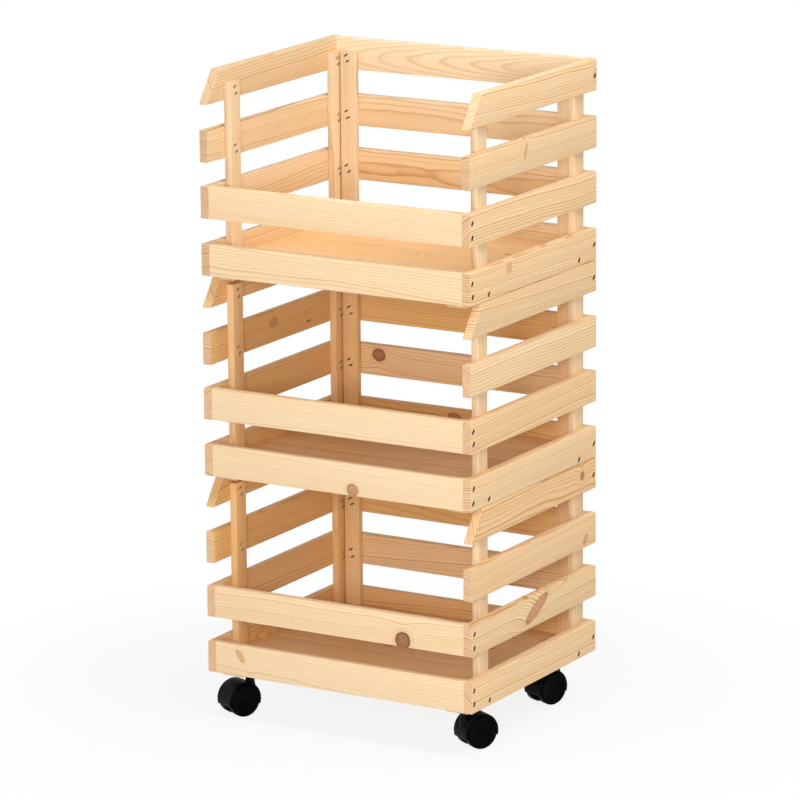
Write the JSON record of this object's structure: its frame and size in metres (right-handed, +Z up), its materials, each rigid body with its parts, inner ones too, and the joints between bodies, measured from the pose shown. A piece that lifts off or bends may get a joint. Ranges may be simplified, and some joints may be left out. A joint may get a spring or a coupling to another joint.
{
  "type": "wooden produce rack",
  "caption": "Stack of open-fronted slatted pine crates on swivelling hooded casters, for keeping and showing fruit and vegetables; each crate lifts off the one below.",
  "frame": {"origin": "on the ground under the middle of the stack", "axes": "+X to the right seen from the open front, +Y to the rear, +Z up"},
  "size_m": [0.36, 0.3, 0.776],
  "materials": {
    "pine": "planed, untreated",
    "hood_nylon": "moulded, fine grained",
    "wheel_nylon": "moulded, smooth",
    "zinc_steel": "zinc plated"
  },
  "bodies": {
    "bottom_crate": {"bottom_left_slats": "pine", "bottom_left_top_slat": "pine", "bottom_left_posts": "pine", "bottom_right_slats": "pine", "bottom_right_top_slat": "pine", "bottom_right_posts": "pine", "bottom_rear_slats": "pine", "bottom_rear_posts": "pine", "bottom_front_lower_rail": "pine", "bottom_front_upper_rail": "pine", "bottom_floor_boards": "pine", "bottom_floor_battens": "pine", "front_left_caster_sleeve": "zinc_steel", "front_left_caster_stem": "zinc_steel", "front_right_caster_sleeve": "zinc_steel", "front_right_caster_stem": "zinc_steel", "rear_left_caster_sleeve": "zinc_steel", "rear_left_caster_stem": "zinc_steel", "rear_right_caster_sleeve": "zinc_steel", "rear_right_caster_stem": "zinc_steel"},
    "middle_crate": {"middle_left_slats": "pine", "middle_left_top_slat": "pine", "middle_left_posts": "pine", "middle_right_slats": "pine", "middle_right_top_slat": "pine", "middle_right_posts": "pine", "middle_rear_slats": "pine", "middle_rear_posts": "pine", "middle_front_lower_rail": "pine", "middle_front_upper_rail": "pine", "middle_floor_boards": "pine", "middle_floor_battens": "pine"},
    "top_crate": {"top_left_slats": "pine", "top_left_top_slat": "pine", "top_left_posts": "pine", "top_right_slats": "pine", "top_right_top_slat": "pine", "top_right_posts": "pine", "top_rear_slats": "pine", "top_rear_posts": "pine", "top_front_lower_rail": "pine", "top_front_upper_rail": "pine", "top_floor_boards": "pine", "top_floor_battens": "pine"},
    "front_left_fork": {"front_left_caster_hood": "hood_nylon", "front_left_caster_axle": "zinc_steel"},
    "front_left_left_wheel": {"front_left_caster_left_wheel": "wheel_nylon"},
    "front_left_right_wheel": {"front_left_caster_right_wheel": "wheel_nylon"},
    "front_right_fork": {"front_right_caster_hood": "hood_nylon", "front_right_caster_axle": "zinc_steel"},
    "front_right_left_wheel": {"front_right_caster_left_wheel": "wheel_nylon"},
    "front_right_right_wheel": {"front_right_caster_right_wheel": "wheel_nylon"},
    "rear_left_fork": {"rear_left_caster_hood": "hood_nylon", "rear_left_caster_axle": "zinc_steel"},
    "rear_left_left_wheel": {"rear_left_caster_left_wheel": "wheel_nylon"},
    "rear_left_right_wheel": {"rear_left_caster_right_wheel": "wheel_nylon"},
    "rear_right_fork": {"rear_right_caster_hood": "hood_nylon", "rear_right_caster_axle": "zinc_steel"},
    "rear_right_left_wheel": {"rear_right_caster_left_wheel": "wheel_nylon"},
    "rear_right_right_wheel": {"rear_right_caster_right_wheel": "wheel_nylon"}
  },
  "joints": [
    {"name": "middle_crate_lift", "type": "slide", "parent": "bottom_crate", "child": "middle_crate", "axis": [0, 0, 1], "range_m": [0, 0.15]},
    {"name": "top_crate_lift", "type": "slide", "parent": "middle_crate", "child": "top_crate", "axis": [0, 0, 1], "range_m": [0, 0.15]},
    {"name": "front_left_swivel", "type": "hinge", "parent": "bottom_crate", "child": "front_left_fork", "pos_m": [-0.147, -0.11, 0.04], "axis": [0, 0, 1], "continuous": true},
    {"name": "front_left_left_wheel_roll", "type": "hinge", "parent": "front_left_fork", "child": "front_left_left_wheel", "pos_m": [-0.15379, -0.12393, 0.02], "axis": [0.8988, -0.4384, 0], "continuous": true},
    {"name": "front_left_right_wheel_roll", "type": "hinge", "parent": "front_left_fork", "child": "front_left_right_wheel", "pos_m": [-0.15379, -0.12393, 0.02], "axis": [0.8988, -0.4384, 0], "continuous": true},
    {"name": "front_right_swivel", "type": "hinge", "parent": "bottom_crate", "child": "front_right_fork", "pos_m": [0.147, -0.11, 0.04], "axis": [0, 0, 1], "continuous": true},
    {"name": "front_right_left_wheel_roll", "type": "hinge", "parent": "front_right_fork", "child": "front_right_left_wheel", "pos_m": [0.15475, -0.09658, 0.02], "axis": [-0.866, 0.5, 0], "continuous": true},
    {"name": "front_right_right_wheel_roll", "type": "hinge", "parent": "front_right_fork", "child": "front_right_right_wheel", "pos_m": [0.15475, -0.09658, 0.02], "axis": [-0.866, 0.5, 0], "continuous": true},
    {"name": "rear_left_swivel", "type": "hinge", "parent": "bottom_crate", "child": "rear_left_fork", "pos_m": [-0.147, 0.11, 0.04], "axis": [0, 0, 1], "continuous": true},
    {"name": "rear_left_left_wheel_roll", "type": "hinge", "parent": "rear_left_fork", "child": "rear_left_left_wheel", "pos_m": [-0.15281, 0.09563, 0.02], "axis": [0.9272, -0.3746, 0], "continuous": true},
    {"name": "rear_left_right_wheel_roll", "type": "hinge", "parent": "rear_left_fork", "child": "rear_left_right_wheel", "pos_m": [-0.15281, 0.09563, 0.02], "axis": [0.9272, -0.3746, 0], "continuous": true},
    {"name": "rear_right_swivel", "type": "hinge", "parent": "bottom_crate", "child": "rear_right_fork", "pos_m": [0.147, 0.11, 0.04], "axis": [0, 0, 1], "continuous": true},
    {"name": "rear_right_left_wheel_roll", "type": "hinge", "parent": "rear_right_fork", "child": "rear_right_left_wheel", "pos_m": [0.1417, 0.09543, 0.02], "axis": [0.9397, -0.342, 0], "continuous": true},
    {"name": "rear_right_right_wheel_roll", "type": "hinge", "parent": "rear_right_fork", "child": "rear_right_right_wheel", "pos_m": [0.1417, 0.09543, 0.02], "axis": [0.9397, -0.342, 0], "continuous": true}
  ]
}
